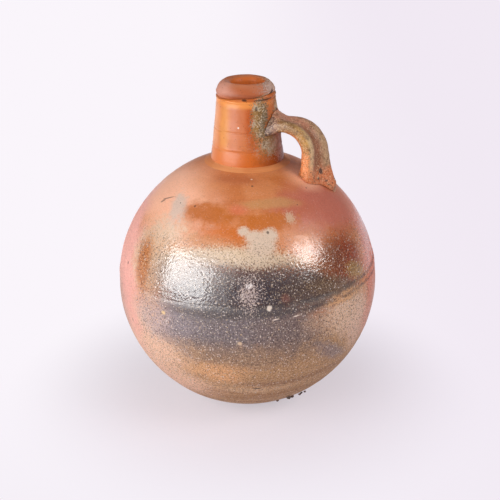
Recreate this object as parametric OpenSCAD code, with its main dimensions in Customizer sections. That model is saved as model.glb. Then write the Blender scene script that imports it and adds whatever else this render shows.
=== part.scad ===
// Round-bodied stoneware flask with a short neck and one strap handle.
// Units are millimetres. The origin is the middle of the base, the mouth looks
// up along +Z, and the handle springs from the neck along +X.

/* [Body] */
// Diameter of the round body
body_d = 200; // [170:1:240]
// Diameter of the flat that the flask stands on
base_d = 48; // [30:1:80]
// Thickness of the thrown wall
wall_t = 6; // [4:0.5:9]
// Thickness of the floor
floor_t = 9; // [5:0.5:14]

/* [Belly seam] */
// Height of the seam above the middle of the body
seam_rise = 14; // [0:1:30]
// Slope of the seam, as the two halves were set together by eye
seam_tilt = 2.4; // [0:0.2:5]
// Direction in which the seam climbs, turned from the handle
seam_heading = 24; // [-180:1:180]
// Width of the clay coil at the surface
seam_w = 5; // [3:0.5:9]
// Depth of the groove that the coil fills
seam_depth = 3; // [1.5:0.5:3.5]
// Swelling of the coil above the surface
seam_swell = 0.45; // [0.2:0.05:0.9]

/* [Neck] */
// Diameter of the neck at the shoulder
neck_root_d = 54.8; // [48:0.2:64]
// Diameter of the neck just under the lip
neck_top_d = 43.4; // [40:0.2:48]
// Height of the neck from the shoulder to the lip
neck_h = 50; // [44:0.5:70]
// Inner diameter of the neck at the shoulder
neck_bore_d = 41; // [34:0.5:43]
// Height of the swollen band at the foot of the neck
band_h = 10.5; // [6:0.5:14]
// Swelling of that band beyond the neck's taper
band_swell = 0.5; // [0.2:0.1:1.5]
// Depth of the turned groove below the lip
groove_drop = 24.5; // [18:0.5:28]
// Radius of the tool that turned the groove
groove_r = 0.9; // [0.5:0.1:1.5]
// Height of the throwing bead under the lip
bead_h = 5; // [3:0.5:7]
// Swelling of that bead
bead_swell = 0.5; // [0.2:0.1:1.2]
// Depth of the crease between bead and lip
crease_t = 0.6; // [0.3:0.1:1.2]

/* [Slip ring] */
// Width of the ring of slip wiped around the neck's foot
slip_w = 8.5; // [5:0.5:10]
// Thickness of that ring
slip_t = 0.9; // [0.4:0.1:1.5]

/* [Lip] */
// Diameter of the mouth, the bore that a cork fits
mouth_d = 22.4; // [18:0.2:26]
// Widest diameter of the lip
lip_d = 44; // [42:0.2:50]
// Diameter of the crest around the funnel of the mouth
crest_d = 32; // [30:0.2:35]
// Height of the lip
lip_h = 10.2; // [9:0.2:13]
// Radius of the lip's rolled lower edge
roll_r = 1.8; // [1:0.1:2.6]
// Swelling of the sloping outer face
lip_swell = 0.7; // [0.2:0.1:1.5]
// Thickness of the fold that lines the throat
fold_t = 2.8; // [2:0.2:4]
// Depth of that fold below the lip
fold_h = 8; // [5:0.5:14]

/* [Handle] */
// Width of the strap
strap_w = 27; // [18:0.5:32]
// Thickness of the strap
strap_t = 9; // [6:0.2:11]
// Depth of the finger groove along the strap's back
strap_groove = 1.5; // [0.5:0.1:2.5]
// Depth of the strap's middle below the lip, where it springs from the neck
strap_drop = 20.5; // [17:0.5:26]
// Gap for the fingers between neck and strap
finger_gap = 24; // [22:0.5:40]
// Radius of the bend, along the middle of the strap
bend_r = 20; // [14:0.5:22]
// Outward lean of the descending part
strap_lean = 3; // [-3:0.5:8]
// Roll of the strap about its own length where it leaves the neck
root_roll = -10; // [-15:1:15]
// Roll of the strap where it meets the shoulder
foot_roll = 30; // [-10:1:40]
// Sideways drift of the strap from neck to shoulder
strap_drift = 4; // [-6:0.5:8]
// Rise of the root where it is smeared up the neck
root_rise = 5.5; // [3:0.5:9]
// Droop of the root's pinched corners below its middle
root_droop = 4; // [0:0.5:5]
// Length over which the root spreads
root_len = 11; // [8:0.5:14]
// Spread of the foot towards the neck
foot_spread = 8; // [2:0.5:10]
// Length over which the foot spreads
foot_len = 15; // [10:0.5:18]

/* [Kiln grit] */
// Number of crumbs fused to the underside
grit_count = 9; // [3:1:16]
// Radius of the largest crumb
grit_r = 1.8; // [1:0.1:2.5]
// Direction of the gritted patch, turned from the handle
grit_heading = -16; // [-180:1:180]

/* [Hidden] */

$fn = 96;
// Facets of the body's outline under a thin piece that lies on it
fine_fn = 720;
overshoot = 1;
arc_steps = 8;

// Body
body_r = body_d / 2;
base_r = base_d / 2;
body_z = sqrt(body_r ^ 2 - base_r ^ 2);
inner_r = body_r - wall_t;

// Neck and lip
neck_root_r = neck_root_d / 2;
neck_top_r = neck_top_d / 2;
neck_seat_z = body_z + sqrt(body_r ^ 2 - neck_root_r ^ 2);
lip_z = neck_seat_z + neck_h;
top_z = lip_z + lip_h;
mouth_r = mouth_d / 2;
fold_r = mouth_r + fold_t;
lip_r = lip_d / 2;
crest_r = crest_d / 2;

// Height of the body's surface at a distance from the axis, above its middle
function dome(r) = sqrt(body_r ^ 2 - r ^ 2);

// Rise of the body's own curve above a chord of a given width
function sagitta(w) = body_r - dome(w / 2);

// Radius of the neck's taper at any height
function neck_r(z) = neck_root_r + (neck_top_r - neck_root_r) * (z - neck_seat_z) / neck_h;

// Points along an arc, from one angle to another
function arc_points(centre, r, from, to) = [
    for (i = [0 : arc_steps])
        let (a = from + (to - from) * i / arc_steps)
        centre + r * [cos(a), sin(a)]
];

// Arc from one point to another that swells to the left of its chord
function swell_points(from, to, swell) =
    let (chord = to - from, half = norm(chord) / 2)
    let (r = (half ^ 2 + swell ^ 2) / (2 * swell))
    let (left = [-chord[1], chord[0]] / norm(chord))
    let (centre = (from + to) / 2 + left * (swell - r))
    let (start = atan2(from[1] - centre[1], from[0] - centre[0]))
    arc_points(centre, r, start, start - 2 * asin(half / r));

function backwards(points) = [for (i = [len(points) - 1 : -1 : 0]) points[i]];

module body_ball() {
    translate([0, 0, body_z]) sphere(r = body_r);
}

module body_hollow() {
    intersection() {
        translate([0, 0, body_z]) sphere(r = inner_r);
        translate([-body_r, -body_r, floor_t]) cube(2 * body_d);
    }
}

// Coordinates of the seam: the middle of the body, leaning as the halves do
module in_seam_frame() {
    translate([0, 0, body_z]) rotate([0, 0, seam_heading]) rotate([0, -seam_tilt, 0]) children();
}

// The coil is a wedge between the two rims, swollen where it meets the surface
seam_top = [dome(seam_rise + seam_w / 2), seam_rise + seam_w / 2];
seam_low = [dome(seam_rise - seam_w / 2), seam_rise - seam_w / 2];
seam_apex = [dome(seam_rise) - seam_depth, seam_rise];

module seam_groove() {
    past_surface = 1.5;
    in_seam_frame() rotate_extrude() polygon([
        seam_apex,
        seam_apex + past_surface * (seam_low - seam_apex),
        seam_apex + past_surface * (seam_top - seam_apex)
    ]);
}

// One half of the thrown body, its rim cut back for the coil
module bowl(cut_from) {
    difference() {
        body_ball();
        body_hollow();
        seam_groove();
        in_seam_frame() translate([-body_d, -body_d, cut_from]) cube(2 * body_d);
        children();
    }
}

module lower_bowl() {
    color("#94785c") bowl(seam_rise)
        translate([0, 0, -body_r]) cylinder(r = body_r, h = body_r);
}

module upper_bowl() {
    color("#b9724a") bowl(seam_rise - 2 * body_d) {
        translate([0, 0, neck_seat_z]) cylinder(r = neck_root_r + overshoot, h = body_r);
        translate([0, 0, body_z]) cylinder(d = neck_bore_d, h = body_r);
    }
}

module belly_seam() {
    swell = seam_swell + sagitta(seam_w);
    color("#6f6359") in_seam_frame() rotate_extrude()
        polygon(concat([seam_apex], swell_points(seam_top, seam_low, swell)));
}

// The neck's outer face: a swollen band, a straight taper with one turned
// groove, and a bead that ends in the crease under the lip
module neck_outline() {
    band_z = neck_seat_z + band_h;
    bead_z = lip_z - bead_h;
    groove_z = lip_z - groove_drop;
    difference() {
        polygon(concat(
            [[0, neck_seat_z]],
            backwards(swell_points([neck_r(band_z), band_z], [neck_root_r, neck_seat_z], band_swell)),
            backwards(swell_points([neck_top_r - crease_t, lip_z], [neck_r(bead_z), bead_z], bead_swell)),
            [[0, lip_z]]
        ));
        translate([neck_r(groove_z) + groove_r / 2, groove_z]) circle(r = groove_r);
    }
}

module neck_core() {
    rotate_extrude() neck_outline();
}

module neck_tube() {
    throat_z = lip_z - fold_h;
    color("#c47a45") rotate_extrude() difference() {
        neck_outline();
        polygon([
            [-overshoot, neck_seat_z - overshoot], [neck_bore_d / 2, neck_seat_z - overshoot],
            [neck_bore_d / 2, neck_seat_z], [fold_r, throat_z],
            [fold_r, lip_z + overshoot], [-overshoot, lip_z + overshoot]
        ]);
    }
}

// Slip wiped into the corner: a low swelling on the dome that laps the neck
module neck_slip_ring() {
    inner_a = asin(neck_root_r / body_r) - asin(overshoot / body_r);
    outer_a = inner_a + 2 * asin(slip_w / (2 * body_r));
    inner_edge = body_r * [sin(inner_a), cos(inner_a)];
    outer_edge = body_r * [sin(outer_a), cos(outer_a)];
    sunk = 1 - overshoot / body_r;
    color("#c99672") difference() {
        translate([0, 0, body_z]) rotate_extrude() difference() {
            polygon(concat(
                swell_points(inner_edge, outer_edge, slip_t + sagitta(slip_w)),
                [outer_edge * sunk, inner_edge * sunk]
            ));
            circle(r = body_r, $fn = fine_fn);
        }
        neck_core();
    }
}

// The lip is the wall folded over: a rolled edge, a sloping face, a crest,
// a funnel and a fold that lines the throat
module lip_collar() {
    roll = [lip_r - roll_r, lip_z + roll_r];
    crest = [crest_r, top_z];
    funnel_r = crest_r - mouth_r;
    color("#a3623f") rotate_extrude() polygon(concat(
        [[mouth_r, lip_z - fold_h], [fold_r, lip_z - fold_h], [fold_r, lip_z]],
        arc_points(roll, roll_r, -90, -10),
        backwards(swell_points(crest, roll + [roll_r, 0], lip_swell)),
        arc_points(crest - [0, funnel_r], funnel_r, 100, 180)
    ));
}

// The strap's middle line: straight out of the neck, round the bend and down
root_z = lip_z - strap_drop;
root_x = neck_r(root_z);
bend_start = finger_gap + strap_t / 2 - bend_r;
bend_angle = 90 - strap_lean;
bend_len = bend_r * bend_angle * PI / 180;
bend_end = [
    root_x + bend_start + bend_r * sin(bend_angle),
    root_z - bend_r + bend_r * cos(bend_angle)
];
fall = [cos(bend_angle), -sin(bend_angle)];

// Length of the fall down to the shoulder, where its line enters the ball
from_centre = bend_end - [0, body_z];
fall_len = -(from_centre * fall)
    - sqrt((from_centre * fall) ^ 2 - from_centre * from_centre + body_r ^ 2);
strap_len = bend_start + bend_len + fall_len;

// Angle of the strap's course below level, at a distance along it
function course(s) = bend_angle * max(0, min(1, (s - bend_start) / bend_len));

// Middle of the strap as distance out and height, at a distance along it
function middle(s) =
    let (a = course(s), round = [sin(a), cos(a) - 1] * bend_r)
    let (straight = max(0, s - bend_start - bend_len))
    [root_x + min(s, bend_start), root_z] + round + fall * straight;

// Spreading of the ends, from none at its start to full at the joint
full_spread = 1.3;
function spread(a) = min(max(a, 0), full_spread) ^ 2;

// Outline of the strap's section, a rounded rectangle
ring_points = 36;
squareness = 0.42;
function squared(c) = sign(c) * abs(c) ^ squareness;

// Broad finger groove between two rounded ribs
rib_at = 0.62;
function groove(u) = abs(u) < rib_at ? -strap_groove * (1 + cos(180 * u / rib_at)) / 2 : 0;

// How far the foot also spreads to each side and outwards
foot_flange = 1.5;

// One closed ring of the strap's surface at a distance along it
function strap_ring(s) =
    let (root = spread(1 - s / root_len))
    let (foot = spread(1 - (strap_len - s) / foot_len))
    let (mid = middle(s), a = course(s), share = s / strap_len)
    let (roll = root_roll + (foot_roll - root_roll) * share)
    let (out = [sin(a), 0, cos(a)], side = [0, 1, 0])
    let (face = out * cos(roll) - side * sin(roll))
    let (edge = side * cos(roll) + out * sin(roll))
    let (centre = [mid[0], strap_drift * share, mid[1]])
    [for (i = [0 : ring_points - 1])
        let (t = 360 * i / ring_points, u = squared(cos(t)), v = squared(sin(t)))
        let (crown = root_rise * root * (1 - u ^ 2))
        let (back = strap_t / 2 + crown + groove(u) * v * (1 - root) + foot_flange * foot)
        let (front = strap_t / 2 + crown / 2 + foot_spread * foot)
        let (across = u * (strap_w / 2 + foot_flange * foot))
        centre + edge * across + face * (v * (v > 0 ? back : front) - root_droop * root * u ^ 2)
    ];

// Closed skin over rings taken at even steps between two distances
module strap_length(from, to, steps) {
    n = ring_points;
    points = [for (k = [0 : steps]) each strap_ring(from + (to - from) * k / steps)];
    sides = [
        for (k = [0 : steps - 1], i = [0 : n - 1])
            let (a = k * n + i, b = k * n + (i + 1) % n)
            each [[a, b + n, b], [a, a + n, b + n]]
    ];
    start_cap = [for (i = [0 : n - 1]) i];
    end_cap = [for (i = [n - 1 : -1 : 0]) steps * n + i];
    polyhedron(points, concat(sides, [start_cap, end_cap]), convexity = 6);
}

// The root is the end of the strap pressed onto the neck and smeared upwards
module handle_root() {
    buried = root_x - sqrt(root_x ^ 2 - (strap_w / 2) ^ 2) + 2 * overshoot;
    color("#a06f55") difference() {
        strap_length(-buried, root_len, 8);
        neck_core();
    }
}

module handle_strap() {
    color("#8a6a48") strap_length(root_len, strap_len - foot_len, 22);
}

// The foot is the other end, spread and pressed down onto the shoulder
module handle_foot() {
    buried = strap_w / 2 + 4 * overshoot;
    color("#a7744c") difference() {
        strap_length(strap_len - foot_len, strap_len + buried, 14);
        body_ball();
    }
}

// Crumbs of kiln sand stuck low on one side, each a cap standing on the ball
module kiln_grit() {
    turns = rands(-24, 24, grit_count, 7);
    drops = rands(48, 66, grit_count, 11);
    sizes = rands(0.55, 1, grit_count, 5);
    standing = 0.2 * grit_r;
    color("#5d4a38") for (i = [0 : grit_count - 1])
        translate([0, 0, body_z]) rotate([0, drops[i], grit_heading + turns[i]])
            translate([body_r, 0, 0]) intersection() {
                translate([standing, 0, 0]) sphere(r = grit_r * sizes[i], $fn = 48);
                translate([0, -grit_r, -grit_r]) cube(2 * grit_r);
            }
}

lower_bowl();
upper_bowl();
belly_seam();
neck_tube();
neck_slip_ring();
lip_collar();
handle_root();
handle_strap();
handle_foot();
kiln_grit();
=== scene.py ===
"""Looks of a salt-glazed stoneware flask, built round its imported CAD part.

Lengths are in metres, in the frame of the part: the base stands on z = 0 and the handle is on the +X side.
"""

import logging
import math
from collections.abc import Callable
from dataclasses import dataclass, field
from enum import Enum
from typing import ClassVar

import bpy
from mathutils import Euler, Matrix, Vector, noise
from mathutils.kdtree import KDTree


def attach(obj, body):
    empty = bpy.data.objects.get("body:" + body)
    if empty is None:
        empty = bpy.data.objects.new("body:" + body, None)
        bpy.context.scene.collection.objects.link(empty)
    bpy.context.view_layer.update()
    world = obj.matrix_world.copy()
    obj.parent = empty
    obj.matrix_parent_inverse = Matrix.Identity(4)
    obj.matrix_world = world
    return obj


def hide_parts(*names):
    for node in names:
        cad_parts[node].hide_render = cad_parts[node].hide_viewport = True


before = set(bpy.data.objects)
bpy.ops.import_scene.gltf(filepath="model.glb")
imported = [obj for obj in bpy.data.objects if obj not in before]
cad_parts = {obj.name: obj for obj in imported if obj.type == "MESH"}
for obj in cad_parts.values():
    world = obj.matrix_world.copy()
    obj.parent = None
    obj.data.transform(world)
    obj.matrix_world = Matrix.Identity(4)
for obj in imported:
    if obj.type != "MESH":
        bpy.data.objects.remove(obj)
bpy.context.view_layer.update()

LOG = logging.getLogger("flask")
MM = 0.001
FRONT = 22.0  # heading of the photographed side, degrees round from -Y towards +X

Colour = tuple[float, float, float, float]


class Slot(Enum):
    """The record's material slots."""

    BARE = "bare_stoneware"
    BODY = "salt_glazed_body"
    SEAM = "seam_clay"
    NECK = "salt_glazed_neck"
    LIP = "glazed_lip"
    HANDLE = "glazed_handle"
    SAND = "kiln_sand"


class Half(Enum):
    """The two thrown halves of the ball."""

    LOWER = "lower_bowl"
    UPPER = "upper_bowl"


def clay(red: float, green: float, blue: float) -> Colour:
    """Turns a colour as seen on a screen, 0 to 255, into linear values."""

    def linear(value: float) -> float:
        """One channel from screen to linear."""
        share = value / 255
        return share / 12.92 if share <= 0.04045 else ((share + 0.055) / 1.055) ** 2.4

    return (linear(red), linear(green), linear(blue), 1.0)


def facing(turn: float) -> Vector:
    """Level unit vector that points turn degrees to the right of the photographed front."""
    heading = math.radians(FRONT + turn)
    return Vector((math.sin(heading), -math.cos(heading), 0))


# --------------------------------------------------------------------------- modelling


class Bench:
    """Moves of the hand in Blender, each as an operator."""

    @staticmethod
    def clear() -> None:
        """Leaves object mode with nothing selected."""
        if bpy.context.object and bpy.context.object.mode != "OBJECT":
            bpy.ops.object.mode_set(mode="OBJECT")
        bpy.ops.object.select_all(action="DESELECT")

    @staticmethod
    def take(piece: bpy.types.Object) -> None:
        """Selects one piece alone and makes it the active one."""
        Bench.clear()
        piece.select_set(True)
        bpy.context.view_layer.objects.active = piece

    @staticmethod
    def edit(mode: str = "VERT") -> None:
        """Enters edit mode with that kind of element."""
        bpy.ops.object.mode_set(mode="EDIT")
        bpy.ops.mesh.select_mode(type=mode)

    @staticmethod
    def done(piece: bpy.types.Object) -> None:
        """Back to object mode with the piece's place moved into its mesh."""
        bpy.ops.object.mode_set(mode="OBJECT")
        Bench.take(piece)
        bpy.ops.object.transform_apply(location=True, rotation=True, scale=True)

    @staticmethod
    def select_faces(piece: bpy.types.Object, test: Callable[[Vector, Vector], bool]) -> None:
        """Selects the faces whose centre and normal pass a test, and stays in edit mode.

        Args:
            piece: the mesh in edit mode.
            test: takes a face's centre and normal.
        """
        bpy.ops.mesh.select_all(action="DESELECT")
        bpy.ops.object.mode_set(mode="OBJECT")
        for face in piece.data.polygons:
            face.select = test(face.center, face.normal)
        bpy.ops.object.mode_set(mode="EDIT")

    @staticmethod
    def tidy_shell() -> None:
        """Merges doubles and turns all faces outwards, in edit mode."""
        bpy.ops.mesh.select_all(action="SELECT")
        bpy.ops.mesh.remove_doubles(threshold=0.002 * MM)
        bpy.ops.mesh.normals_make_consistent(inside=False)

    @staticmethod
    def modify(piece: bpy.types.Object, kind: str, **settings: object) -> None:
        """Adds a modifier, sets it and applies it.

        Args:
            piece: the piece to change.
            kind: the modifier's type.
            settings: its properties.
        """
        Bench.take(piece)
        modifier = piece.modifiers.new(kind.lower(), kind)
        for key, value in settings.items():
            setattr(modifier, key, value)
        bpy.ops.object.modifier_apply(modifier=modifier.name)

    @staticmethod
    def weigh(piece: bpy.types.Object, name: str, rule: Callable[[Vector], float]) -> str:
        """Paints a vertex group by place.

        Args:
            piece: the piece.
            name: the group's name.
            rule: takes a vertex's place and gives its weight.

        Returns:
            The group's name.
        """
        group = piece.vertex_groups.new(name=name)
        for vertex in piece.data.vertices:
            weight = rule(vertex.co)
            if weight > 0:
                group.add([vertex.index], min(1.0, weight), "REPLACE")
        return name

    @staticmethod
    def rough_up(piece: bpy.types.Object, size: float, depth: float, level: float, group: str = "") -> None:
        """Pushes the surface along its normals by clouds of noise.

        Args:
            piece: the piece to change.
            size: size of the clouds.
            depth: full travel.
            level: the cloud value that doesn't move, so 1 only sinks and 0 only rises.
            group: the vertex group that limits it.
        """
        cloud = bpy.data.textures.new(f"{piece.name}_cloud", "CLOUDS")
        cloud.noise_scale = size
        cloud.noise_depth = 2
        Bench.modify(
            piece, "DISPLACE", texture=cloud, texture_coords="LOCAL", strength=depth, mid_level=level, vertex_group=group
        )
        bpy.data.textures.remove(cloud)

    @staticmethod
    def shift(piece: bpy.types.Object, axis: str, rule: Callable[[Vector], float]) -> None:
        """Moves the points along one axis, each by its own way.

        Args:
            piece: the piece to change.
            axis: X, Y or Z.
            rule: takes a point's place and gives how far it moves.
        """
        reach = max(abs(rule(vertex.co)) for vertex in piece.data.vertices)
        forth = Bench.weigh(piece, "forth", lambda place: rule(place) / reach)
        back = Bench.weigh(piece, "back", lambda place: -rule(place) / reach)
        Bench.modify(piece, "DISPLACE", direction=axis, strength=reach, mid_level=0.0, vertex_group=forth)
        Bench.modify(piece, "DISPLACE", direction=axis, strength=-reach, mid_level=0.0, vertex_group=back)
        piece.vertex_groups.clear()

    @staticmethod
    def smooth(piece: bpy.types.Object, angle: float = 60) -> None:
        """Shades the piece smooth up to an angle in degrees."""
        Bench.take(piece)
        bpy.ops.object.shade_smooth_by_angle(angle=math.radians(angle))


Outline = list[tuple[float, float]]


def turned(name: str, outline: Outline, steps: int, centre: Vector, axis: Vector, out: Vector) -> bpy.types.Object:
    """Throws a closed outline round an axis, as on a wheel.

    Args:
        name: the piece's name.
        outline: points as distance from the axis and height along it, all the way round the section.
        steps: how many steps make the full turn.
        centre: where height 0 lies on the axis.
        axis: the axis's unit vector.
        out: a unit vector square to it, where the outline is drawn.

    Returns:
        The finished closed mesh.
    """

    def place(point: tuple[float, float]) -> Vector:
        """Where one point of the outline lies."""
        return centre + out * point[0] + axis * point[1]

    Bench.clear()
    bpy.ops.mesh.primitive_plane_add(size=MM, location=place(outline[0]))
    piece = bpy.context.active_object
    piece.name = piece.data.name = name
    Bench.edit()
    bpy.ops.mesh.select_all(action="SELECT")
    bpy.ops.mesh.merge(type="CENTER")
    here = place(outline[0])
    for point in [*outline[1:], outline[0]]:
        step = place(point) - here
        bpy.ops.mesh.extrude_region_move(TRANSFORM_OT_translate={"value": step})
        here = here + step
    bpy.ops.mesh.select_all(action="SELECT")
    bpy.ops.mesh.remove_doubles(threshold=0.001 * MM)
    bpy.ops.mesh.select_all(action="SELECT")
    bpy.ops.mesh.spin(steps=steps, angle=math.tau, center=centre, axis=axis)
    Bench.tidy_shell()
    Bench.done(piece)
    return piece


def bulge(start: tuple[float, float], end: tuple[float, float], swell: float, count: int) -> Outline:
    """Points from start to end along a soft bow that swells to the right of the way.

    Args:
        start: first point.
        end: last point.
        swell: height of the bow.
        count: how many steps.

    Returns:
        The points, both ends included.
    """
    along = Vector((end[0] - start[0], end[1] - start[1]))
    right = Vector((along.y, -along.x)).normalized()
    points = []
    for index in range(count + 1):
        share = index / count
        bow = swell * 4 * share * (1 - share)
        points.append((start[0] + along.x * share + right.x * bow, start[1] + along.y * share + right.y * bow))
    return points


@dataclass(frozen=True)
class Ball:
    """The two thrown bowls and the coil between them."""

    radius: float = 100 * MM
    middle: float = 97.08 * MM
    wall: float = 6 * MM
    seam_rise: float = 14 * MM
    seam_tilt: float = 2.4
    seam_heading: float = 24.0
    coil_width: float = 5 * MM
    coil_depth: float = 3 * MM
    coil_swell: float = 0.34 * MM
    opening: float = 20.5 * MM
    segments: int = 256
    rings: int = 128
    hand_sway: float = 1.0 * MM
    sway_size: float = 60 * MM
    peel_sway: float = 0.22 * MM
    peel_size: float = 5 * MM

    @property
    def centre(self) -> Vector:
        """Middle of the ball."""
        return Vector((0, 0, self.middle))

    def seam_frame(self) -> tuple[Vector, Vector]:
        """The seam's axis and the level direction it leans along, as unit vectors."""
        lean = Euler((0, -math.radians(self.seam_tilt), math.radians(self.seam_heading)), "XYZ").to_matrix()
        return lean @ Vector((0, 0, 1)), lean @ Vector((1, 0, 0))

    def hand_worn(self, place: Vector) -> float:
        """How freely the surface may sway at a place: not where it stands or where the neck is joined."""
        low = min(1.0, max(0.0, (place.z - 4 * MM) / (20 * MM)))
        high = min(1.0, max(0.0, (186 * MM - place.z) / (14 * MM)))
        outside = 1.0 if (place - self.centre).length > self.radius - 2 * MM else 0.0
        return low * high * outside

    def sway(self, piece: bpy.types.Object) -> None:
        """Gives a piece of the ball the slow and the quick unevenness of the thrown wall."""
        group = Bench.weigh(piece, "skin", self.hand_worn)
        Bench.rough_up(piece, self.sway_size, self.hand_sway, 1.0, group)
        Bench.rough_up(piece, self.peel_size, self.peel_sway, 0.8, group)
        piece.vertex_groups.clear()

    def bowl(self, half: Half) -> bpy.types.Object:
        """Cuts one half out of a sphere and gives it its wall.

        Args:
            half: which of the two.

        Returns:
            The closed shell.
        """
        up, _ = self.seam_frame()
        edge = self.seam_rise + self.coil_width / 4 * (1 if half is Half.UPPER else -1)
        Bench.clear()
        bpy.ops.mesh.primitive_uv_sphere_add(
            segments=self.segments, ring_count=self.rings, radius=self.radius, location=self.centre
        )
        piece = bpy.context.active_object
        piece.name = piece.data.name = f"thrown_{half.value}"
        Bench.take(piece)
        bpy.ops.object.transform_apply(location=True, rotation=True, scale=True)
        Bench.edit()
        bpy.ops.mesh.select_all(action="SELECT")
        lower = half is Half.LOWER
        bpy.ops.mesh.bisect(
            plane_co=self.centre + up * edge, plane_no=up, clear_inner=not lower, clear_outer=lower, threshold=0.01 * MM
        )
        bpy.ops.mesh.select_all(action="SELECT")
        if lower:
            bpy.ops.mesh.bisect(
                plane_co=(0, 0, 0), plane_no=(0, 0, 1), clear_inner=True, use_fill=True, threshold=0.01 * MM
            )
        else:
            rim = self.middle + math.sqrt(self.radius**2 - self.opening**2)
            bpy.ops.mesh.bisect(plane_co=(0, 0, rim), plane_no=(0, 0, 1), clear_outer=True, threshold=0.01 * MM)
        Bench.tidy_shell()
        Bench.done(piece)
        Bench.modify(piece, "SOLIDIFY", thickness=self.wall, offset=-1, use_even_offset=True)
        Bench.take(piece)
        Bench.edit("FACE")
        skin = self.radius - 1.5 * MM
        Bench.select_faces(
            piece, lambda place, normal: (place - self.centre).length > skin and place.z > 1 * MM and abs(normal.z) < 0.999
        )
        bpy.ops.mesh.subdivide(number_cuts=1, smoothness=0)
        Bench.done(piece)
        self.sway(piece)
        Bench.smooth(piece, 40)
        return piece

    def coil(self) -> bpy.types.Object:
        """Presses the coil of clay into the joint.

        Returns:
            The closed ring.
        """
        up, out = self.seam_frame()
        middle = math.asin(self.seam_rise / self.radius)
        half = self.coil_width / self.radius
        face = []
        for index in range(29):
            share = 2.2 * index / 28 - 1.1
            reach = min(1.0, abs(share))
            angle = middle - half * share
            proud = self.coil_swell * math.cos(math.pi / 2 * reach) ** 2 - 0.025 * MM * reach**8
            proud -= 60 * MM * (abs(share) - reach) ** 2
            face.append(((self.radius + proud) * math.cos(angle), (self.radius + proud) * math.sin(angle)))
        deep = self.radius - self.coil_depth
        root = [(deep * math.cos(middle + turn), deep * math.sin(middle + turn)) for turn in (-half / 4, half / 4)]
        piece = turned("seam_coil", [*face, *root], 2 * self.segments, self.centre, up, out)
        self.sway(piece)
        Bench.smooth(piece, 50)
        return piece


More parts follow.
